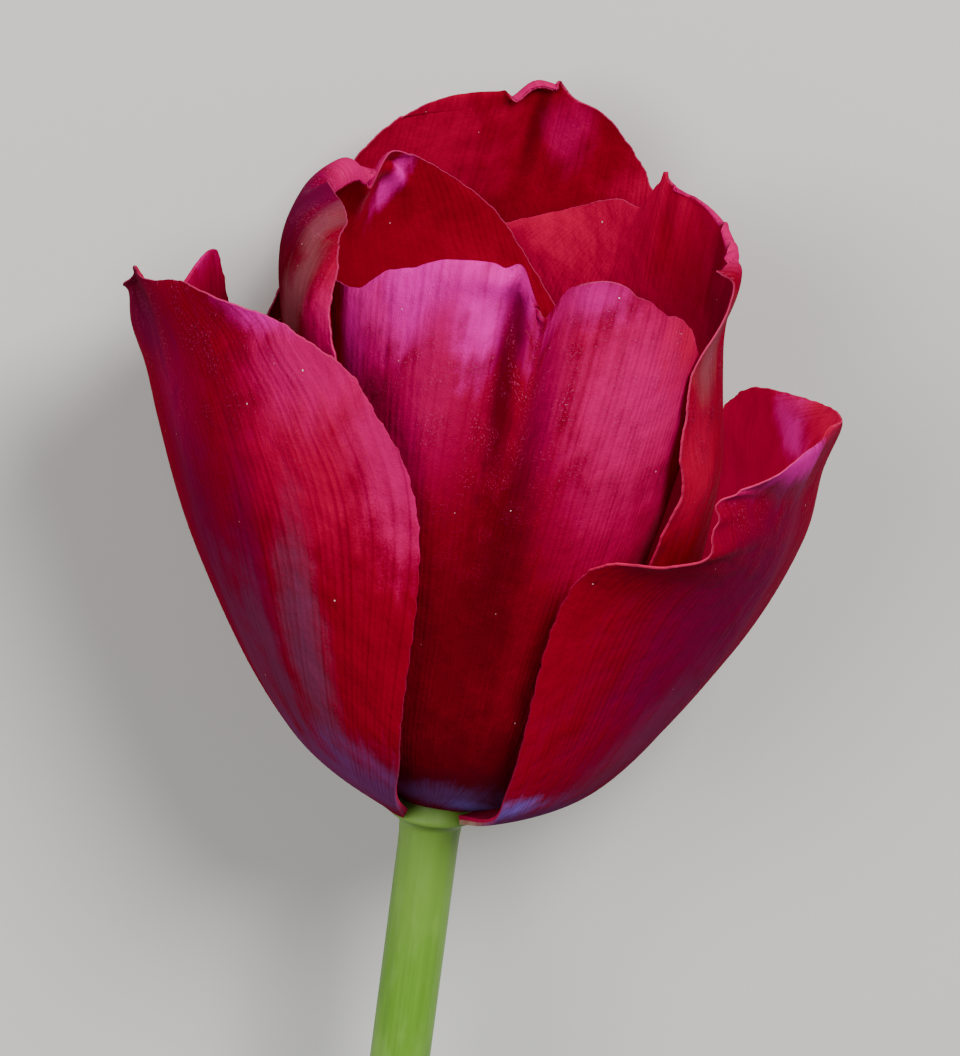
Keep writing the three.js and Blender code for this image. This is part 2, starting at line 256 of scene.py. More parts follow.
def stem():
    sides, stalk_rings, receptacle_rings, joint = 96, 150, 50, 2
    heights = np.linspace(-STEM_LENGTH, RECEPTACLE[0][0] - joint, stalk_rings)
    bent = np.clip((-heights - STEM_STRAIGHT) / (STEM_LENGTH - STEM_STRAIGHT), 0, None)
    radii = STEM_RADIUS + (STEM_CUT_RADIUS - STEM_RADIUS) * bent
    stalk = np.stack([STEM_BOW * bent ** 2, heights, radii], axis=1)
    receptacle = through(RECEPTACLE, np.linspace(0, 1, receptacle_rings))
    spine = np.concatenate([stalk, [(0, height, radius) for height, radius in receptacle]])
    angle = np.linspace(0, 2 * pi, sides, endpoint=False)
    ribs = 1 + sum(size * (np.sin(count * angle + turn) - 1) for count, size, turn in STEM_RIBS)
    rings, marks = [], []
    for place, (bow, height, radius) in enumerate(spine):
        ribbed = radius * (ribs if height < RIBS_END else 1)
        points = ring(angle, ribbed, ribbed, height, bow)
        cut = max(0, 1 - place / STEM_CUT_RINGS)
        points[:, 2] -= cut * np.tan(radians(STEM_CUT_SLANT)) * (points[:, 1] + radius)
        rings.append(points)
        marks.append(ring(angle, 1, 1, height))
    points, marks, faces = closed_tube(rings, marks)
    make_piece("green_stem", "stem", waxy_green(), points, faces, {"skin": marks}, crisp_from=35)


stem()


# The pistil: the green ovary, three-sided and waxy, grown in one with the cream stigma on its top,
# whose three lobes are folded and velvety. It stands in the middle of the receptacle.
# Its rings are (height, radius, depth of the three lobes as a part of the radius).
PISTIL = [(3.3, 1.45, 0), (5, 1.75, 0.02), (9, 2.8, 0.07), (14, 3.3, 0.08), (20, 3.1, 0.08),
          (24.4, 2.5, 0.1), (25.8, 2.4, 0.15), (27, 3, 0.25), (28.1, 4, 0.34), (28.9, 4.2, 0.36),
          (29.3, 3.4, 0.34), (28.9, 1, 0.1)]
STIGMA_FOOT = 26.2
# The frill of the stigma: its folds, their depth as a part of the radius, and their twist to the millimetre.
FRILL_FOLDS, FRILL_DEPTH, FRILL_TWIST = 21, 0.05, 3
OVARY_GREEN, OVARY_STREAK = (0.3, 0.42, 0.12), (0.5, 0.6, 0.28)
STIGMA_OCHRE, STIGMA_CREAM = (0.62, 0.55, 0.25), (0.85, 0.8, 0.5)


def ovary_and_stigma():
    material, shader = new_finish("ovary_and_stigma", Specular_IOR_Level=0.3)
    skin = read(shader, "skin")
    streaks = skin.noise((5.0, 5.0, 0.3), 3.0)
    papillae = skin.noise((14.0, 14.0, 9.0), 1.0)
    crest = skin.part(2).step(STIGMA_FOOT - 0.6, STIGMA_FOOT + 0.6)
    green = streaks.tint(OVARY_GREEN, OVARY_STREAK)
    cream = papillae.tint(STIGMA_OCHRE, STIGMA_CREAM)
    wear(shader, Base_Color=crest.tint(green, cream), Roughness=0.45 + 0.4 * crest,
         Normal=shader.bump(crest * papillae * 0.00025 + streaks * 0.00004))
    return material


def pistil():
    angle = np.linspace(0, 2 * pi, 90, endpoint=False)
    rings, marks = [], []
    for height, radius, lobes in through(PISTIL, np.linspace(0, 1, 100)):
        frilled = FRILL_DEPTH * np.clip((height - STIGMA_FOOT) / 2, 0, 1)
        frill = frilled * np.sin(FRILL_FOLDS * angle + FRILL_TWIST * height)
        around = radius * (1 + lobes * np.cos(3 * angle) + frill)
        rings.append(ring(angle, around, around, height))
        marks.append(ring(angle, 1, 1, height))
    points, marks, faces = closed_tube(rings, marks)
    make_piece("ovary_with_stigma", "pistil", ovary_and_stigma(), points, faces, {"skin": marks})


pistil()


# The six stamens: each a dark stalk that narrows to a neck, with a long grooved anther on it that is
# dusty with dark pollen. They stand in a ring round the pistil, rooted in the receptacle.
# Each is (degrees that it faces, height of its tip, how far out its tip stands).
STAMENS = [(34, 25.6, 7.4), (93, 26.3, 6.9), (149, 25.2, 7.5), (211, 26, 7.2), (272, 25.4, 7.6),
           (328, 26.2, 7)]
FOOT_OUT, FOOT_HEIGHT, FOOT_RADIUS = 2.42, 3.3, 0.48
STALK_HALF_WIDTH, STALK_HALF_DEPTH = 0.75, 0.6
NECK_RADIUS = 0.45
ANTHER_LENGTH, ANTHER_HALF_WIDTH, ANTHER_HALF_DEPTH, ANTHER_GROOVE = 12.5, 1.5, 1.05, 0.16
STALK_PURPLE, ANTHER_PURPLE, POLLEN = (0.03, 0.008, 0.03), (0.012, 0.004, 0.016), (0.10, 0.055, 0.075)


def dusty_purple():
    material, shader = new_finish("dusty_purple", Specular_IOR_Level=0.2)
    skin = read(shader, "skin")
    on_anther = skin.part(2).step(-0.5, 0.5)
    grains = skin.noise((6.0, 6.0, 5.0), 3.0, 0.7)
    dust = on_anther * grains.step(0.5, 0.62)
    dark = on_anther.tint(STALK_PURPLE, ANTHER_PURPLE)
    wear(shader, Base_Color=dust.tint(dark, POLLEN), Roughness=0.5 + 0.4 * on_anther,
         Normal=shader.bump(on_anther * grains * 0.00018))
    return material


def stamen(number, facing, tip_height, tip_out):
    neck = tip_height - ANTHER_LENGTH
    stalk = through([(FOOT_HEIGHT, FOOT_RADIUS, FOOT_RADIUS, 0),
                     (FOOT_HEIGHT + 0.4 * (neck - FOOT_HEIGHT), STALK_HALF_WIDTH, STALK_HALF_DEPTH, 0),
                     (neck, NECK_RADIUS, NECK_RADIUS, 0)], np.linspace(0, 1, 26))
    along = 0.5 - 0.5 * np.cos(np.linspace(0.06, 1, 44) * pi)
    swell = np.sqrt(np.maximum(0.04, 1 - (2 * along - 1) ** 6))
    anther = np.stack([neck + along * ANTHER_LENGTH, ANTHER_HALF_WIDTH * swell, ANTHER_HALF_DEPTH * swell,
                       np.full(len(along), ANTHER_GROOVE)], axis=1)
    angle = np.linspace(0, 2 * pi, 40, endpoint=False)
    rings, marks = [], []
    for height, width, depth, groove in np.concatenate([stalk, anther]):
        t = max(0, (height - FOOT_HEIGHT) / (tip_height - FOOT_HEIGHT))
        out = FOOT_OUT + (tip_out - FOOT_OUT) * t ** 0.8
        lobed = 1 - groove * np.cos(4 * angle)
        rings.append(ring(angle, depth * lobed, width * lobed, height, out))
        marks.append(ring(angle, 1, 1, height - neck, number))
    points, marks, faces = closed_tube(rings, marks)
    turn = np.array(Matrix.Rotation(radians(facing), 3, "Z"))
    make_piece(f"stamen_with_anther_{number}", f"stamen_{number}", dusty_purple(), points @ turn.T,
               faces, {"skin": marks})


for number, (facing, tip_height, tip_out) in enumerate(STAMENS, 1):
    stamen(number, facing, tip_height, tip_out)


# The three inner petals: thin, satiny blades, each grown from the receptacle by a narrow claw and cupped
# round the flower's axis, with a groove down the middle and a waved, finely notched margin.
BLADE_ROWS, BLADE_STEPS_A_SIDE = 400, 36
CLAW_THICKNESS, BLADE_THICKNESS, MARGIN_THICKNESS = 1.0, 0.5, 0.12
CLAW_END = 0.25
RIPPLE_HEIGHT, RIPPLES, RIPPLES_START = 0.4, 7, 0.5
CROWN_START = 0.45
# Notches along both margins, as (spacing, depth, phase); they fade out towards the claw and the tip.
MARGIN_NOTCHES = [(1.1, 0.03, 0), (1.73, 0.03, 1), (2.9, 0.07, 2), (0.63, 0.02, 3)]
NOTCHES_START, NOTCHES_FULL, NOTCHES_END = 12, 30, 1
# A petal's facing is in degrees round the axis, and a greater bluntness makes a squarer tip. Each row of
# values is spaced evenly from claw to tip. The profile is (radius, height) of the middle line, and lean takes
# that line to the right. Width, wrap and rise have a row for the left half and one for the right half: wrap 1
# follows the circle round the axis and more closes the cup, and rise lifts the margin. The groove is the
# slope beside the middle line in degrees, steepest at groove_reach.
# Places on a petal go from -1 at its left margin to 1 at its right one, and from 0 at its claw to 1 at its
# tip. The crown lifts the rim, as (place, reach, lift), and dents move a spot, as (place, reach, [out, right,
# up]). Curls roll the rim over a line, as (start, end, radius, degrees). The tip narrows the places of crown
# and curls as it narrows the blade. A flat petal of FLAT_WIDTH and FLAT_LENGTH gives the curls their angles.
FLAT_WIDTH, FLAT_LENGTH = 25, 65
# The share of its line over which a curl dies out at each end.
CURL_FADE = 0.2
INNER_PETALS = {
    "inner_tepal_front": dict(
        facing=269, bluntness=7,
        profile=[(4, 1.8), (13.2, 9.2), (16, 22.2), (17.8, 35.6), (18.3, 48.4), (17.4, 61)],
        lean=[0, 1.4, 4], width=[(3, 15.5, 21.5, 33.5, 39), (3, 16, 21, 24, 28)],
        wrap=[(1, 1.15, 1.2, 1.02, 0.75), (1, 1.1, 1.15, 1.1, 1.05)],
        rise=[(0, 0, 0, 1.5, 2), (0, 0, -0.5, 3.5, 2.5)], groove=[0, 8, 22, 34, 44], groove_reach=3.4,
        crown=[(-0.56, 0.12, -2), (-0.17, 0.19, 2.8), (-0.05, 0.025, 0.9), (0.03, 0.06, -4),
               (0.26, 0.15, 2.6), (-0.52, 0.03, -0.3), (-0.43, 0.025, 0.3), (-0.34, 0.02, -0.25),
               (-0.26, 0.03, 0.15), (-0.1, 0.02, -0.3), (0.36, 0.02, -0.2), (0.43, 0.025, 0.25),
               (0.52, 0.03, -0.3)],
        dents=[((0.04, 0.86), (0.07, 0.2), (-1, 0, 0)), ((-0.2, 0.97), (0.2, 0.03), (1, 0, 0)),
               ((1, 0.1), (0.6, 0.1), (-1.1, 1.4, -1.3)), ((1, 0.68), (0.45, 0.22), (0, 1.7, 0))],
        curls=[]),
    "inner_tepal_right": dict(
        facing=41, bluntness=7,
        profile=[(4, 1.8), (14.9, 7.7), (20.4, 22.2), (23.6, 38.4), (21.6, 52.9), (22, 64.7)],
        lean=[0, 2.3, 1.8], width=[(3, 19, 32, 36, 38), (3, 18, 25, 25.5, 9)],
        wrap=[(1, 1, 0.95, 0.8, 0.85), (1, 0.95, 0.95, 0.9, 0.95)],
        rise=[(0, 0, 1.5, -1, -1.5), (0, 0, 0, 3.5, -3.5)], groove=[0, 5, 10, 12, 15], groove_reach=3.4,
        crown=[(-0.64, 0.16, 3), (0.03, 0.035, 1.3), (0.37, 0.17, -2.5)],
        dents=[((-0.65, 0.42), (0.35, 0.16), (1.6, -1.3, 0)), ((-1, 0.875), (0.3, 0.045), (2.2, 0, 0)),
               ((-1, 0.918), (0.15, 0.009), (-2.6, 0, 0))],
        curls=[((-0.66, 0.9), (-0.44, 0.935), 0.8, -180), ((-0.46, 0.935), (-0.28, 0.958), 0.8, -190),
               ((-0.3, 0.955), (-0.08, 0.975), 0.7, -190)]),
    "inner_tepal_left": dict(
        facing=159, bluntness=7,
        profile=[(4, 1.8), (14.1, 9.1), (17.4, 22.2), (18.8, 39.8), (21.2, 56.7), (17.4, 66)],
        lean=[0, -3, 2], width=[(3, 17.5, 28.5, 32, 21), (3, 16.5, 23, 25.5, 24.5)],
        wrap=[(1, 1, 1.05, 1.05, 0.95), (1, 0.9, 0.8, 1, 1.5)],
        rise=[(0, 0, 1.5, -1.5, 0), (0, 0, -1.5, 3, 0)], groove=[0, 5, 10, 12, 15], groove_reach=3.4,
        crown=[(-0.3, 0.07, -4.5), (-0.17, 0.06, -0.8), (0.02, 0.25, 1.8)],
        dents=[((-0.62, 0.9), (0.06, 0.04), (-0.9, 0, 0))],
        curls=[((-0.3, 0.93), (0.35, 0.885), 1.5, -165)]),
}


def smooth(values, low, high):
    t = np.clip((values - low) / (high - low), 0, 1)
    return t * t * (3 - 2 * t)


def between(grid, row, column):
    """The place on a grid of points at rows and columns that needn't be whole."""
    r = np.clip(row.astype(int), 0, grid.shape[0] - 2)
    c = np.clip(column.astype(int), 0, grid.shape[1] - 2)
    down, right = (row - r)[..., None], (column - c)[..., None]
    before = grid[r, c] + right * (grid[r, c + 1] - grid[r, c])
    after = grid[r + 1, c] + right * (grid[r + 1, c + 1] - grid[r + 1, c])
    return before + down * (after - before)


def curl(middle, u, v, closing, start, end, radius, turn):
    """Rolls what lies beyond the line between two places [across, along] round a cylinder, inwards for a
    turn below 0. The roll dies out at both ends of the line."""
    def at(place):
        column = np.interp(place[..., 0] / np.maximum(0.02, np.interp(place[..., 1], v, closing)), u,
                           np.arange(len(u)))
        return between(middle, np.interp(place[..., 1], v, np.arange(len(v))), column)

    scale = np.array([FLAT_WIDTH, FLAT_LENGTH])
    start, end = np.array(start), np.array(end)
    line = (end - start) * scale
    beside = np.array([-line[1], line[0]])
    place = np.stack(np.broadcast_arrays(closing[:, None] * u, v[:, None]), axis=2)
    share = np.clip(((place - start) * scale) @ line / (line @ line), 0, 1)
    beyond = ((place - start) * scale) @ beside > 0
    along = at(start + 0.7 * (end - start)) - at(start + 0.3 * (end - start))
    along /= np.linalg.norm(along)
    half_way = start + 0.5 * (end - start)
    away = at(half_way + beside / np.linalg.norm(line) / scale) - at(half_way)
    away -= (away @ along) * along
    away /= np.linalg.norm(away)
    normal = np.cross(along, away)
    offset = middle - at(start + share[..., None] * (end - start))
    far, high = offset @ away, offset @ normal
    ends = np.maximum(0.02, smooth(share, 0, CURL_FADE) * smooth(1 - share, 0, CURL_FADE))
    bend = radius / ends
    angle = np.minimum(np.maximum(far, 0) / bend, radians(abs(turn)) * ends)
    rest = np.maximum(far, 0) - bend * angle
    side = -1 if turn < 0 else 1
    new_far = bend * np.sin(angle) + rest * np.cos(angle) - side * high * np.sin(angle)
    new_high = side * (bend * (1 - np.cos(angle)) + rest * np.sin(angle)) + high * np.cos(angle)
    moved = middle + (new_far - far)[..., None] * away + (new_high - high)[..., None] * normal
    return np.where((beyond & (far > 0))[..., None], moved, middle)


def blade_middle(shape):
    """The middle surface of a petal as rows of points, with each row's v, each column's u, and how much of
    its width the tip's closing leaves each row."""
    # Rows stand closer together towards the tip, and columns towards the margins.
    v = np.sin(np.linspace(0, pi / 2, BLADE_ROWS + 1))
    t = np.linspace(0, 1, BLADE_STEPS_A_SIDE + 1)
    reach = 0.55 * t + 0.45 * (1 - (1 - t) ** 2)
    radius, height = through(shape["profile"], v).T
    facing = radians(shape["facing"])
    outwards = np.array([cos(facing), sin(facing), 0])
    rightwards = np.array([-sin(facing), cos(facing), 0])
    lean = through(shape["lean"], v)
    groove = np.radians(through(shape["groove"], v))[:, None]
    calm = smooth(v, RIPPLES_START, 1.3 * RIPPLES_START)[:, None]
    closing = np.sqrt(1 - v ** shape["bluntness"])
    halves = []
    for half, side in enumerate((-1, 1)):
        width = (through(shape["width"][half], v) * closing)[:, None]
        wrap = through(shape["wrap"][half], v)[:, None]
        rise = through(shape["rise"][half], v)[:, None]
        step = width * np.diff(reach)
        s = width * 0.5 * (reach[1:] + reach[:-1])
        x = s / shape["groove_reach"]
        heading = wrap * s / radius[:, None] - groove * x * np.exp(0.5 - 0.5 * x * x)
        start = np.zeros((len(v), 1))
        across = np.hstack([start, np.cumsum(step * np.cos(heading), axis=1)])
        inward = np.hstack([start, np.cumsum(step * np.sin(heading), axis=1)])
        ripple = calm * RIPPLE_HEIGHT * reach ** 4 * np.sin(2 * pi * (RIPPLES * v[:, None] + 0.15 * side))
        out = radius[:, None] - inward + ripple * np.minimum(1, 3 * closing[:, None])
        right = lean[:, None] + side * across
        up = height[:, None] + rise * (closing[:, None] * reach) ** 2
        halves.append(np.stack([out, right, up], axis=2))
    local = np.concatenate([halves[0][:, :0:-1], halves[1]], axis=1)
    u = np.concatenate([-reach[:0:-1], reach])
    narrowed = closing[:, None] * u
    for place, spread, lift in shape["crown"]:
        lifted = lift * smooth(v, CROWN_START, 1)[:, None]
        local[:, :, 2] += lifted * np.exp(-((narrowed - place) / spread) ** 2)
    for (place_u, place_v), (wide, long), move in shape["dents"]:
        share = np.exp(-((u[None, :] - place_u) / wide) ** 2 - ((v[:, None] - place_v) / long) ** 2)
        local += share[:, :, None] * np.array(move)
    middle = local[:, :, :1] * outwards + local[:, :, 1:2] * rightwards
    middle[:, :, 2] = local[:, :, 2]
    for bend in shape["curls"]:
        middle = curl(middle, u, v, closing, *bend)
    return middle, u, v, closing


def notch_margins(middle):
    """Notches both margins finely, as a growing edge is."""
    for column, beside in ((0, 1), (-1, -2)):
        rim = middle[:, column].copy()
        outward = rim - middle[:, beside]
        outward /= np.maximum(0.001, np.linalg.norm(outward, axis=1, keepdims=True))
        along = np.concatenate([[0], np.cumsum(np.linalg.norm(np.diff(rim, axis=0), axis=1))])
        waves = sum(depth * np.sin(2 * pi * along / spacing + phase)
                    for spacing, depth, phase in MARGIN_NOTCHES)
        waves *= smooth(along, NOTCHES_START, NOTCHES_FULL) * smooth(along[-1] - along, 0, NOTCHES_END)
        middle[:, column] += waves[:, None] * outward


def petal(node, shape, finish):
    """Both faces of a blade and the rim between them. Its marks are its place, as (across, along, 1 outside
    or -1 inside), and flat, which is the millimetres across, up and to the nearer margin."""
    middle, u, v, closing = blade_middle(shape)
    notch_margins(middle)
    columns = len(u)
    normal = np.cross(np.gradient(middle[:-1], axis=1), np.gradient(middle, axis=0)[:-1])
    normal /= np.linalg.norm(normal, axis=2, keepdims=True)
    body = np.interp(v, [0, CLAW_END, 1], [CLAW_THICKNESS, BLADE_THICKNESS, BLADE_THICKNESS])[:-1, None]
    margin = np.minimum(body, MARGIN_THICKNESS)
    half = 0.5 * (body + (margin - body) * v[:-1, None] * np.abs(u)[None, :] ** 4)[:, :, None]
    tip = middle[-1, columns // 2]
    tip_half = normal[-1, columns // 2] * 0.5 * MARGIN_THICKNESS
    points = np.concatenate([(middle[:-1] + half * normal).reshape(-1, 3),
                             (middle[:-1] - half * normal).reshape(-1, 3), [tip + tip_half, tip - tip_half]])
    count = BLADE_ROWS * columns
    tips = (2 * count, 2 * count + 1)
    grid = np.arange(count).reshape(BLADE_ROWS, columns)
    quads = np.stack([grid[:-1, :-1], grid[:-1, 1:], grid[1:, 1:], grid[1:, :-1]], axis=2).reshape(-1, 4)
    faces = quads.tolist() + (quads[:, ::-1] + count).tolist()
    last = grid[-1]
    for c in range(columns - 1):
        faces.append((last[c], last[c + 1], tips[0]))
        faces.append((last[c + 1] + count, last[c] + count, tips[1]))
    round_rim = [*grid[0, :-1], *grid[:-1, -1], grid[-1, -1], tips[0], *grid[:0:-1, 0]]
    for i, here in enumerate(round_rim):
        after = round_rim[(i + 1) % len(round_rim)]
        below = tips[1] if here == tips[0] else here + count
        below_after = tips[1] if after == tips[0] else after + count
        faces.append((here, below, below_after, after))
    faces = [tuple(int(i) for i in face) for face in faces]
    across = (u[None, :] * closing[:, None])[:-1]
    widths = np.where(u[None, :] < 0, *(through(row, v)[:-1, None] for row in shape["width"]))
    height = through(shape["profile"], v)[:-1, 1:2]
    to_margin = np.minimum(np.linalg.norm(middle[:-1] - middle[:-1, :1], axis=2),
                           np.linalg.norm(middle[:-1] - middle[:-1, -1:], axis=2))
    full = np.ones((BLADE_ROWS, columns))
    place = np.stack([across, v[:-1, None] * full, full], axis=2)
    flat = np.stack([across * widths, height * full, to_margin], axis=2)
    top = shape["profile"][-1][1]
    marks = {"place": [*place.reshape(-1, 3), *(place * (1, 1, -1)).reshape(-1, 3), (0, 1, 1), (0, 1, -1)],
             "flat": [*flat.reshape(-1, 3), *flat.reshape(-1, 3), (0, top, 0), (0, top, 0)]}
    make_piece(node.replace("tepal", "petal"), node, finish, points, faces, marks, crisp_from=60)


# Colours of the petals' skin. Mauve and grey-purple serve as painted sheen, pink as painted highlight, hot
# pink as painted light shining through the blade, and the pale magenta sparkle as painted glints. Oxblood and
# plum are the skin's own dark reds and also serve as painted shade. Crimson is its own red and also painted
# light shining through.
DEEP_RED, OXBLOOD, CRIMSON = (0.25, 0.0, 0.013), (0.08, 0.0, 0.004), (0.45, 0.0, 0.04)
MAGENTA, PAINTED_HIGHLIGHT_PINK, PAINTED_GLOW_PINK = (0.38, 0.0, 0.065), (0.56, 0.0, 0.125), (0.85, 0.0, 0.2)
PAINTED_SHEEN_MAUVE, PLUM, PAINTED_SHEEN_GREY_PURPLE = (0.72, 0.0, 0.34), (0.13, 0.0, 0.035), (0.14, 0.025, 0.07)
VIOLET, BLUE_VIOLET = (0.13, 0.04, 0.2), (0.16, 0.1, 0.5)
DUSKY_PINK, CREAM = (0.24, 0.055, 0.07), (0.5, 0.48, 0.28)
PAINTED_SPARKLE, POLLEN_SPECK, PALE_RIM = (0.9, 0.15, 0.5), (0.8, 0.6, 0.6), (0.5, 0.06, 0.18)
SHEEN_PINK, DARK = (0.9, 0.35, 0.6, 1), (0.0, 0.0, 0.0)
# The colour under the patches, on the outside and the inside of each petal. The brighter crimson inside some
# petals is partly painted light shining through the blade.
BOTH_FACES_OF = {
    "inner_tepal_front": (DEEP_RED, DEEP_RED), "inner_tepal_right": (DEEP_RED, CRIMSON),
    "inner_tepal_left": (DEEP_RED, DEEP_RED), "outer_tepal_back": (DEEP_RED, DEEP_RED),
    "outer_tepal_left": (DEEP_RED, CRIMSON), "outer_tepal_right": (DEEP_RED, CRIMSON),
}
# How strongly the inside of each thin blade glows: a painted glow that stands in for the light shining
# through it from its back.
PAINTED_GLOW_STRENGTH = {"outer_tepal_right": 0.55, "inner_tepal_left": 0.25, "inner_tepal_right": 0.15}
# Where each petal's colour changes, on its outside (1) or its inside (-1): the middle and the reach of each
# patch in millimetres [across, up], how many degrees it leans, its colour and its strength. Some patches are
# the skin's own flushes. Many are painted light: painted sheen in mauve and grey-purple, painted highlights
# in pink, painted light shining through the blade in hot pink and crimson, and painted shade in oxblood and
# plum in the creases, under curled rims and along edges turned from the light.
INNER_PATCHES = {
    "inner_tepal_front": [
        (1, (-12, 47), (9, 9), 0, MAGENTA, 0.7), (1, (-14, 59), (12, 6), 0, PAINTED_SHEEN_MAUVE, 0.95),
        (1, (-20, 51), (5, 9), 0, PAINTED_HIGHLIGHT_PINK, 0.9), (1, (-8.8, 50), (2.2, 7.5), 0, MAGENTA, 0.85),
        (1, (-5, 56), (2, 5), 0, PAINTED_SHEEN_MAUVE, 0.8), (1, (-21, 52), (3, 7), 0, PAINTED_SHEEN_MAUVE, 0.8),
        (1, (-3.2, 60.5), (2, 1.8), 0, PAINTED_SHEEN_MAUVE, 0.85), (1, (13, 42), (7, 10), 0, MAGENTA, 0.8),
        (1, (14, 51), (8, 9), 0, PAINTED_HIGHLIGHT_PINK, 0.85), (1, (6, 59.5), (3.2, 2.5), 0, PAINTED_SHEEN_MAUVE, 0.45),
        (1, (3.5, 51), (2, 9), 0, MAGENTA, 0.8), (1, (19, 56), (4, 5), 0, CRIMSON, 0.9),
        (1, (-1.5, 50), (1.2, 10), 5, OXBLOOD, 0.9), (1, (-1.1, 57), (0.8, 2.6), 0, OXBLOOD, 0.8),
        (1, (0, 24), (7, 16), 0, OXBLOOD, 0.7), (1, (2, 36), (2.5, 14), 0, OXBLOOD, 0.7),
        (1, (3, 8), (14, 9), 0, OXBLOOD, 0.8), (1, (1, 5), (6, 2), 0, VIOLET, 0.8),
        (1, (4, 3.5), (3, 1.2), 0, BLUE_VIOLET, 0.7)],
    "inner_tepal_right": [
        (1, (-31, 42), (4, 9), 0, CRIMSON, 0.7), (1, (-28.6, 54), (2.4, 3.8), 0, DUSKY_PINK, 0.85),
        (1, (-9, 64.5), (12, 3), 0, PAINTED_HIGHLIGHT_PINK, 0.9), (1, (-19, 62), (5, 3), 0, PAINTED_HIGHLIGHT_PINK, 0.9),
        (-1, (-1.5, 61), (1.2, 6), 0, OXBLOOD, 0.6), (-1, (-11, 60), (1.5, 5), 0, OXBLOOD, 0.6),
        (-1, (-18, 57), (8, 9), 0, OXBLOOD, 0.7), (-1, (-4, 58), (6, 6), 0, DEEP_RED, 0.8)],
    "inner_tepal_left": [
        (1, (10, 56), (8, 11), 0, OXBLOOD, 0.8), (1, (9, 64), (6, 3), 0, PLUM, 0.8),
        (1, (-2, 64.5), (5, 2.2), 0, PAINTED_HIGHLIGHT_PINK, 0.85), (-1, (-12, 61.8), (1.3, 3.2), 8, PAINTED_SHEEN_MAUVE, 0.95),
        (1, (15.5, 51.5), (2.4, 4.5), -20, DUSKY_PINK, 0.95), (1, (16, 61), (1.6, 4), 30, DUSKY_PINK, 0.9),
        (1, (18, 54.5), (1.7, 4.5), -15, DUSKY_PINK, 0.9), (1, (22.5, 54), (2, 6), 0, CRIMSON, 0.9),
        (1, (23.5, 49), (3.4, 6), 0, PAINTED_GLOW_PINK, 0.9), (1, (0, 66), (6, 1.8), 0, PAINTED_HIGHLIGHT_PINK, 0.7),
        (1, (-10, 64), (5, 4), 0, PAINTED_HIGHLIGHT_PINK, 0.9), (-1, (0, 50), (14, 7), 0, OXBLOOD, 0.5),
        (1, (8, 61), (7, 3), 0, PLUM, 0.6)],
}
# The third part of the flat mark is the way to the margin. Divided by this, it stays out of the patches.
PATCH_DEPTH = 1000
# The parts of a petal, in millimetres up: over the first its veins fade and its pale rim and painted sparkle
# come in, and over the second the painted glow on its inside comes in.
UPPER_PART, PAINTED_GLOW_PART = (25, 55), (15, 35)
VEINS, VEIN_BENDS = 270, 30
# Heights of the skin's relief in metres.
VEIN_RELIEF, STREAK_RELIEF, GRAIN_RELIEF, MOTTLE_RELIEF = 0.00002, 0.0001, 0.00005, 0.0004


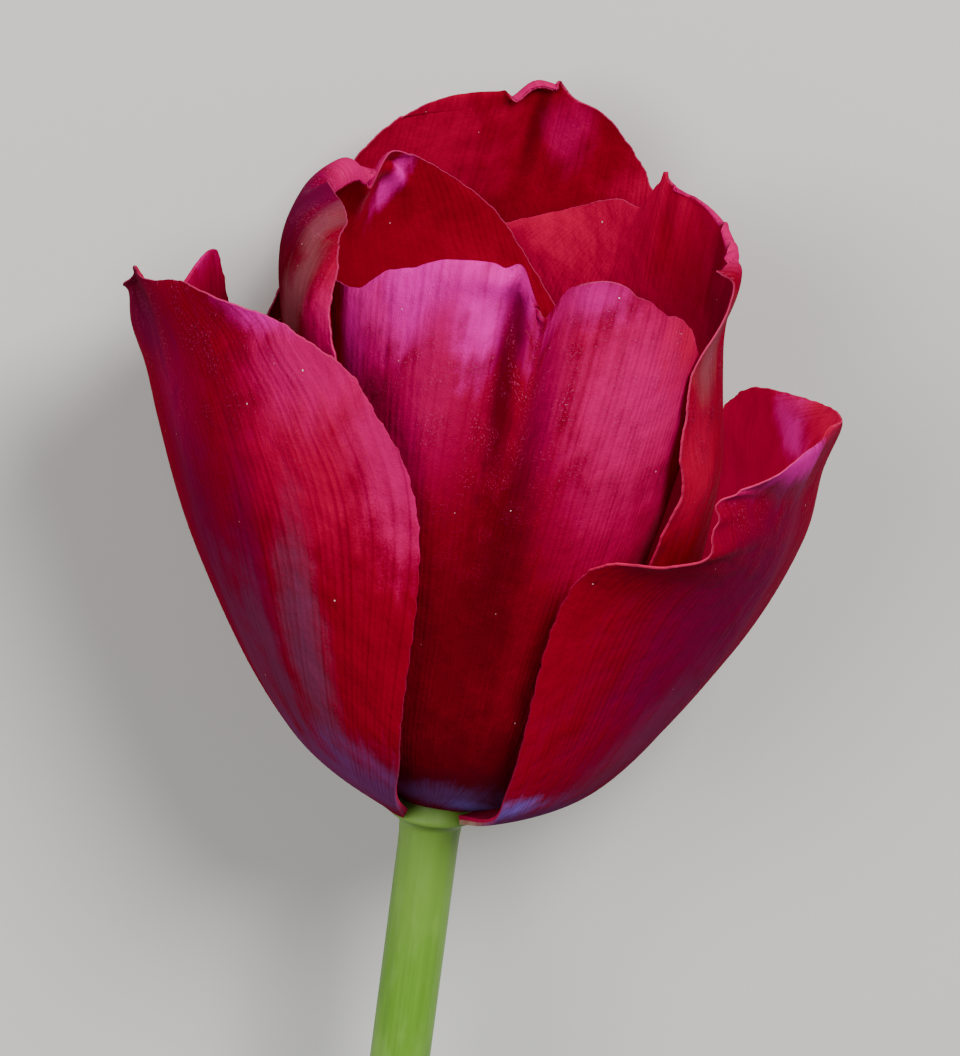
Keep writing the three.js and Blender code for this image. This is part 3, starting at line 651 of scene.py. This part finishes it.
def velvet(node, patches):
    """The skin of a petal: deep red with fine veins, a thin pale margin and a few specks of pollen, under
    patches that are partly painted sheen, highlights and shade, with painted sparkle on its upper outside and
    a painted glow on its inside.
    """
    material, shader = new_finish(
        node, Specular_IOR_Level=0.0, Emission_Strength=PAINTED_GLOW_STRENGTH.get(node, 0.0),
        Sheen_Weight=0.04, Sheen_Roughness=0.4, Sheen_Tint=SHEEN_PINK)
    place = read(shader, "place")
    flat = read(shader, "flat")
    streaks = place.noise((48.0, 1.4, 0.0), 3.0)
    bends = place.noise((3.0, 2.0, 0.0), 2.0)
    veins = (place.part(0) * VEINS + bends * VEIN_BENDS).sine() * 0.5 + 0.5
    mottle = flat.noise((0.45, 0.3, 0.0), 3.0)
    grain = flat.noise((4.5, 4.0, 0.0), 2.0, 0.85)
    outside = place.part(2).step(-0.1, 0.1)
    ragged = (streaks - 0.5) * 0.8 + (mottle - 0.5) * 1.5 + (grain - 0.5)
    faces = []
    for side, base in zip((1, -1), BOTH_FACES_OF[node]):
        colour = (mottle.step(0.3, 0.8) * 0.3).tint(base, OXBLOOD)
        for face, (across, up), (wide, tall), lean, flush, strength in patches:
            if face == side:
                within = flat.node("ShaderNodeMapping", {"vector_type": "TEXTURE"}, {
                    "Vector": flat, "Location": (across, up, 0), "Rotation": (0, 0, radians(lean)),
                    "Scale": (wide, tall, PATCH_DEPTH)}).length()
                colour = ((within + ragged).step(1.6, 0.2) * strength).tint(colour, flush)
        faces.append(colour)
    colour = outside.tint(faces[1], faces[0])
    upper = flat.part(1).step(*UPPER_PART)
    colour = (veins.step(0.35, 1.0) * streaks.step(0.35, 0.65) * (0.32 - 0.2 * upper)).tint(colour, OXBLOOD)
    # Painted sparkle: pale magenta glints of the satiny skin, speckled over the mottle on the upper outside,
    # with darker plum grains among them.
    painted_sparkle_zone = mottle.step(0.4, 0.65) * upper * outside
    colour = (grain.step(0.52, 0.75) * painted_sparkle_zone * 0.3).tint(colour, PAINTED_SPARKLE)
    colour = (grain.step(0.45, 0.28) * painted_sparkle_zone * 0.4).tint(colour, PLUM)
    colour = (flat.cells(0.4).step(0.035, 0.02) * mottle.step(0.45, 0.55)).tint(colour, POLLEN_SPECK)
    # A thin pale rim along both margins, stronger in the upper part, where it is partly a painted highlight.
    colour = (flat.part(2).step(0.1, 0.02) * (0.12 + 0.25 * upper)).tint(colour, PALE_RIM)
    # Painted glow: the inside of the upper blade glows in its inside colour, standing in for the light that
    # shines through it from its back.
    painted_glow = (place.part(2).step(0.1, -0.1) * flat.part(1).step(*PAINTED_GLOW_PART)).tint(DARK, faces[1])
    relief = veins * VEIN_RELIEF + streaks * STREAK_RELIEF + grain * GRAIN_RELIEF + mottle * MOTTLE_RELIEF
    wear(shader, Base_Color=colour, Emission_Color=painted_glow, Roughness=0.4 + 0.25 * grain,
         Normal=shader.bump(relief))
    return material


for node, shape in INNER_PETALS.items():
    petal(node, shape, velvet(node, INNER_PATCHES[node]))


# The three outer petals: the same kind of blade, broader and longer, set outside the gaps between the
# inner ones. The back one lies underneath and carries the bloom on the lobes beside its groove.
# Their tables read as those of the inner petals do.
OUTER_PETALS = {
    "outer_tepal_back": dict(
        facing=93, bluntness=7,
        profile=[(4.8, 0.3), (17.4, 6.6), (26, 19.6), (29.8, 34.8), (28.6, 51), (24.4, 70)],
        lean=[0, 2.9, -3.8], width=[(3.2, 17, 24, 22, 16), (3.2, 17, 24, 26, 27)],
        wrap=[(1, 1, 1, 1.1, 1.2), (1, 1, 1, 1, 0.9)], rise=[(0, 0, 0, 0, 0), (0, 0, 0, 0, 0)],
        groove=[0, 10, 17, 17, 14], groove_reach=5.5,
        crown=[(-0.56, 0.15, -0.9), (-0.01, 0.1, 1.8), (0.07, 0.06, 1.3)],
        dents=[],
        curls=[((-0.06, 0.98), (0.17, 0.968), 0.5, -150)]),
    "outer_tepal_left": dict(
        facing=199, bluntness=4,
        profile=[(4.8, 0.3), (16, 8.5), (24.8, 23.5), (30.4, 38), (33.4, 48), (37.2, 55.8)],
        lean=[0, -4.4, -2.2], width=[(3.2, 18.5, 29, 26.5, 4), (3.2, 21, 31.5, 26.5, 15.5)],
        wrap=[(1, 1, 1.25, 1.25, 1.4), (1, 0.9, 1.2, 1.15, 1.2)],
        rise=[(0, 0, 2.7, 3.4, -6), (0, 0, 8.5, 14.5, 9)], groove=[0, 8, 14, 14, 14], groove_reach=3.4,
        crown=[(0.58, 0.15, 1.3)],
        dents=[((-1, 0.705), (0.2, 0.03), (0.6, 0, 4.8)), ((-0.25, 0.8), (0.4, 0.09), (1.1, 0, 0)),
               ((-0.5, 0.945), (0.3, 0.03), (-0.7, 0, 0))],
        curls=[]),
    "outer_tepal_right": dict(
        facing=345, bluntness=4,
        profile=[(4.8, 0.3), (17, 6.2), (25.8, 19.4), (31.4, 32.8), (33.3, 41.8), (35.8, 49)],
        lean=[0, 5, -1.7], width=[(3.2, 19, 29, 25, 22), (3.2, 18.5, 29, 31, 12)],
        wrap=[(1, 1.1, 1.15, 0.95, 1.3), (1, 0.95, 1, 1.35, 1.35)],
        rise=[(0, 0, 7.4, -1.6, 4), (0, 0, -2.7, 5.8, 2)], groove=[0, 8, 14, 14, 14], groove_reach=3.4,
        crown=[],
        dents=[((-1, 0.735), (0.25, 0.035), (1, 0, 0)), ((-1, 0.82), (0.35, 0.05), (-1.3, 0, 1.4)),
               ((-1, 0.8), (0.15, 0.012), (0.6, 0, 0)), ((-1, 0.845), (0.15, 0.012), (0.6, 0, 0)),
               ((1, 0.72), (0.4, 0.14), (-1, 0, 0))],
        curls=[]),
}
# As on the inner petals, these patches mix the skin's own flushes with painted sheen, highlights, light
# shining through and shade. The grey-purple bands near the edges are painted sheen, and the plum along the
# edges is painted shade.
OUTER_PATCHES = {
    "outer_tepal_back": [
        (-1, (12, 62), (8, 9), 0, CRIMSON, 0.5), (-1, (0.3, 65), (0.9, 6), 0, OXBLOOD, 0.8),
        (-1, (-3, 66), (2, 3.5), 0, MAGENTA, 0.8), (-1, (-13, 58), (4, 7), 0, CRIMSON, 0.7),
        (1, (2, 69), (5, 2), 0, PAINTED_HIGHLIGHT_PINK, 0.8)],
    "outer_tepal_left": [
        (1, (22, 38), (7, 9), 0, CRIMSON, 0.85), (1, (4, 43), (5, 7), 0, MAGENTA, 0.6),
        (1, (4, 26), (6, 18), 0, PLUM, 0.8), (1, (5, 14), (4, 12), -10, PAINTED_SHEEN_GREY_PURPLE, 0.6),
        (1, (30, 37), (4, 9), 0, PAINTED_HIGHLIGHT_PINK, 0.85), (1, (23, 44), (5, 5), 0, PAINTED_HIGHLIGHT_PINK, 0.85),
        (1, (20, 48.5), (4.5, 1.8), -20, PAINTED_SHEEN_MAUVE, 0.8), (1, (11.5, 24), (2, 13), -12, PLUM, 0.7),
        (1, (15.5, 20), (2.2, 12), -15, PAINTED_SHEEN_GREY_PURPLE, 0.85), (1, (14, 6), (9, 5), 0, VIOLET, 0.7),
        (1, (0, 52), (6, 6), 0, PLUM, 0.85), (1, (-1, 54.5), (5, 3.5), 0, OXBLOOD, 0.7),
        (1, (10, 18), (1.7, 9), -8, PAINTED_SHEEN_GREY_PURPLE, 0.7), (-1, (-24, 45.8), (3.5, 2), 0, PAINTED_SHEEN_MAUVE, 0.8)],
    "outer_tepal_right": [
        (1, (-13, 28), (7, 14), 0, PLUM, 0.7), (1, (-5, 24), (8, 22), 0, PLUM, 0.8),
        (1, (-9, 13), (2.5, 9), 0, PAINTED_SHEEN_GREY_PURPLE, 0.5), (1, (-16, 44.5), (3, 1.5), 0, PAINTED_HIGHLIGHT_PINK, 0.6),
        (1, (-7, 46), (7, 3), 0, PAINTED_SHEEN_GREY_PURPLE, 0.6), (1, (-9, 47), (6, 2), 0, PAINTED_SHEEN_MAUVE, 0.7),
        (1, (0, 48.7), (3, 1.4), 0, CRIMSON, 0.9), (1, (-13, 4), (7, 3), 0, VIOLET, 0.6),
        (1, (-15, 6), (2, 1.5), 0, BLUE_VIOLET, 0.7), (1, (0, 1.5), (9, 2.5), 0, CREAM, 0.7),
        (-1, (22, 36), (9, 9), 0, CRIMSON, 0.5), (-1, (17, 40.5), (3, 2.5), 0, PAINTED_SHEEN_MAUVE, 0.7)],
}

for node, shape in OUTER_PETALS.items():
    petal(node, shape, velvet(node, OUTER_PATCHES[node]))


# The table under the flower: a plain, pale, matt top, faintly mottled. It lies level under the lowest points
# of the bloom and the stem, and reaches past all sides of the view.
TABLE_HALF = 3.0
TABLE_GREY, TABLE_LIGHT_GREY = (0.6, 0.59, 0.57), (0.64, 0.63, 0.61)


def table():
    mesh = bpy.data.meshes.new("table_top")
    corners = [(-TABLE_HALF, -TABLE_HALF, 0), (TABLE_HALF, -TABLE_HALF, 0),
               (TABLE_HALF, TABLE_HALF, 0), (-TABLE_HALF, TABLE_HALF, 0)]
    mesh.from_pydata(corners, [], [(0, 1, 2, 3)])
    material, shader = new_finish("pale_table", Roughness=0.8, Specular_IOR_Level=0.2)
    grain = shader.node("ShaderNodeTexCoord", {}, {}, 3).noise((3.0, 3.0, 3.0), 2.0)
    wear(shader, Base_Color=grain.tint(TABLE_GREY, TABLE_LIGHT_GREY))
    mesh.materials.append(material)
    top = bpy.data.objects.new("table_top", mesh)
    bpy.context.scene.collection.objects.link(top)


table()


# Soft light on the bloom: a broad lamp beyond the tips of the petals, a weaker and wider one from the left,
# and an even white light from all round. Places and widths are in metres and powers in watts.
BLOOM = LAID_DOWN @ Vector((0, 0, 35))
LAMPS = {"sky_light": ((0.3, 0.5, 0.7), 0.4, 11), "fill_light": ((-0.5, 0.15, 0.75), 0.6, 5.3)}
ALL_ROUND_STRENGTH = 0.17


def lamp(name, place, width, power):
    light = bpy.data.lights.new(name, "AREA")
    light.shape = "DISK"
    light.size = width
    light.energy = power
    holder = bpy.data.objects.new(name, light)
    holder.location = place
    holder.rotation_euler = (BLOOM - place).to_track_quat("-Z", "Y").to_euler()
    bpy.context.scene.collection.objects.link(holder)


for name, (from_bloom, width, power) in LAMPS.items():
    lamp(name, BLOOM + Vector(from_bloom), width, power)
world = bpy.data.worlds.new("studio")
world.use_nodes = True
world.node_tree.nodes["Background"].inputs["Color"].default_value = (1, 1, 1, 1)
world.node_tree.nodes["Background"].inputs["Strength"].default_value = ALL_ROUND_STRENGTH
bpy.context.scene.world = world


# The camera looks down on the flower as the photograph does: 18 degrees into the bloom, whose axis leans
# to the right in the picture, from far enough away that the lines stay nearly parallel.
LOOKS_DOWN = radians(18)
AXIS_LEANS = radians(7.5)
PICTURE_CENTRE = (1.1, 0, 30.5)
CAMERA_DISTANCE = 600
PICTURE_HEIGHT = 107
SENSOR = 36


def camera():
    back = Vector((0, -cos(LOOKS_DOWN), sin(LOOKS_DOWN)))
    up = Vector((0, sin(LOOKS_DOWN), cos(LOOKS_DOWN)))
    right = Vector((1, 0, 0))
    image_right = right * cos(AXIS_LEANS) + up * sin(AXIS_LEANS)
    image_up = up * cos(AXIS_LEANS) - right * sin(AXIS_LEANS)
    turn = LAID_DOWN.to_3x3().normalized()
    data = bpy.data.cameras.new("camera")
    data.sensor_width = SENSOR
    data.lens = SENSOR * CAMERA_DISTANCE / PICTURE_HEIGHT
    holder = bpy.data.objects.new("camera", data)
    axes = Matrix([turn @ image_right, turn @ image_up, turn @ back]).transposed()
    place = LAID_DOWN @ (Vector(PICTURE_CENTRE) + back * CAMERA_DISTANCE)
    holder.matrix_world = Matrix.Translation(place) @ axes.to_4x4()
    bpy.context.scene.collection.objects.link(holder)
    bpy.context.scene.camera = holder


camera()
